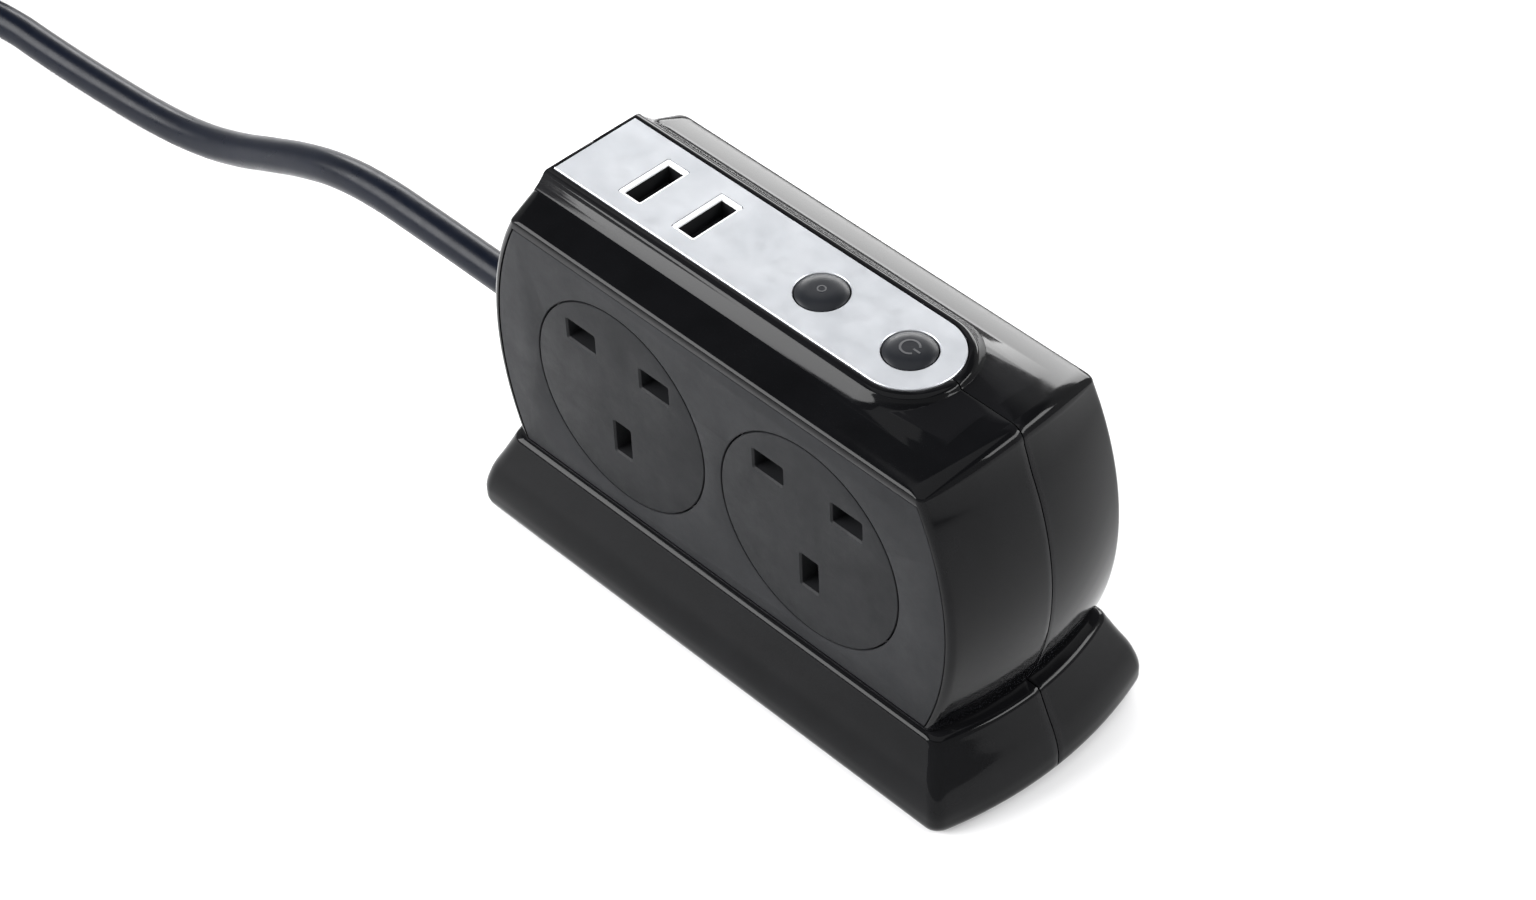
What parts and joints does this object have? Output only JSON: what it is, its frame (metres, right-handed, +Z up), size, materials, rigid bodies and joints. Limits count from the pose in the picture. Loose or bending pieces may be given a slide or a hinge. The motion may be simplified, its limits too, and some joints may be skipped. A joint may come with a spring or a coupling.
{
  "type": "power strip",
  "caption": "Free-standing block power strip with inverted shuttered outlets on both sides, USB outlets and a push switch on its silver top, a flared plinth and a hanked cord with plug.",
  "frame": {"origin": "middle of the strip's footprint, on the surface its feet stand on, without the cord", "axes": "+X along the strip away from the cord, front outlets face -Y, +Z up"},
  "size_m": [0.628, 0.0775, 0.0921],
  "materials": {
    "gloss_black": "polished black moulding",
    "matte_black": "fine matte texture",
    "satin_silver": "satin",
    "plated_steel": "bright plated",
    "brass": "drawn",
    "smoked_dome": "smoked satin",
    "dark_plastic": "moulded",
    "inner_plastic": "moulded",
    "circuit_board": "solder mask",
    "varistor_blue": "dipped coating",
    "foot_rubber": "soft",
    "cord_rubber": "moulded",
    "cord_pvc": "satin sheath",
    "fuse_ceramic": "glazed",
    "lamp_green": "clear tinted"
  },
  "bodies": {
    "strip": {"front_shell": "gloss_black", "rear_shell": "gloss_black", "front_panel": "matte_black", "rear_panel": "matte_black", "top_plate": "satin_silver", "usb_socket_far": "plated_steel", "usb_socket_near": "plated_steel", "usb_tongue_far": "dark_plastic", "usb_tongue_near": "dark_plastic", "usb_board": "circuit_board", "usb_transformer": "dark_plastic", "surge_lens": "smoked_dome", "surge_lamp": "lamp_green", "button_spring": "plated_steel", "switch_body": "dark_plastic", "live_busbar": "brass", "neutral_busbar": "brass", "earth_busbar": "brass", "front_contact_carrier": "inner_plastic", "rear_contact_carrier": "inner_plastic", "surge_board": "circuit_board", "varistor_1": "varistor_blue", "varistor_2": "varistor_blue", "varistor_3": "varistor_blue", "thermal_fuse": "plated_steel", "cord_strain_relief": "cord_rubber", "cord_tail": "cord_pvc", "cord_clamp": "inner_plastic", "supply_cord": "cord_pvc", "cord_hank": "cord_pvc", "hank_tie": "dark_plastic", "plug_lead": "cord_pvc", "plug_body": "dark_plastic", "plug_strain_relief": "cord_rubber", "plug_live_pin": "brass", "plug_neutral_pin": "brass", "plug_earth_pin": "brass", "plug_fuse": "fuse_ceramic", "plug_fuse_carrier": "dark_plastic", "outlet_face_front_left": "matte_black", "shutter_spring_front_left": "plated_steel", "outlet_face_front_right": "matte_black", "shutter_spring_front_right": "plated_steel", "outlet_face_rear_left": "matte_black", "shutter_spring_rear_left": "plated_steel", "outlet_face_rear_right": "matte_black", "shutter_spring_rear_right": "plated_steel", "case_screw_1": "plated_steel", "rubber_foot_1": "foot_rubber", "case_screw_2": "plated_steel", "rubber_foot_2": "foot_rubber", "case_screw_3": "plated_steel", "rubber_foot_3": "foot_rubber", "case_screw_4": "plated_steel", "rubber_foot_4": "foot_rubber"},
    "shutter_front_left_body": {"shutter_front_left": "inner_plastic"},
    "shutter_front_right_body": {"shutter_front_right": "inner_plastic"},
    "shutter_rear_left_body": {"shutter_rear_left": "inner_plastic"},
    "shutter_rear_right_body": {"shutter_rear_right": "inner_plastic"},
    "button": {"power_button": "smoked_dome"}
  },
  "joints": [
    {"name": "shutter_front_left_slide", "type": "slide", "parent": "strip", "child": "shutter_front_left_body", "axis": [0, 0, 1], "range_m": [0, 0.0064], "stiffness_N_per_m": 60, "springref_m": -0.006, "deforming": ["shutter_spring_front_left"]},
    {"name": "shutter_front_right_slide", "type": "slide", "parent": "strip", "child": "shutter_front_right_body", "axis": [0, 0, 1], "range_m": [0, 0.0064], "stiffness_N_per_m": 60, "springref_m": -0.006, "deforming": ["shutter_spring_front_right"]},
    {"name": "shutter_rear_left_slide", "type": "slide", "parent": "strip", "child": "shutter_rear_left_body", "axis": [0, 0, 1], "range_m": [0, 0.0064], "stiffness_N_per_m": 60, "springref_m": -0.006, "deforming": ["shutter_spring_rear_left"]},
    {"name": "shutter_rear_right_slide", "type": "slide", "parent": "strip", "child": "shutter_rear_right_body", "axis": [0, 0, 1], "range_m": [0, 0.0064], "stiffness_N_per_m": 60, "springref_m": -0.006, "deforming": ["shutter_spring_rear_right"]},
    {"name": "power_button_press", "type": "slide", "parent": "strip", "child": "button", "axis": [0, 0, -1], "range_m": [0, 0.0025], "stiffness_N_per_m": 300, "springref_m": -0.002, "deforming": ["button_spring"]}
  ]
}
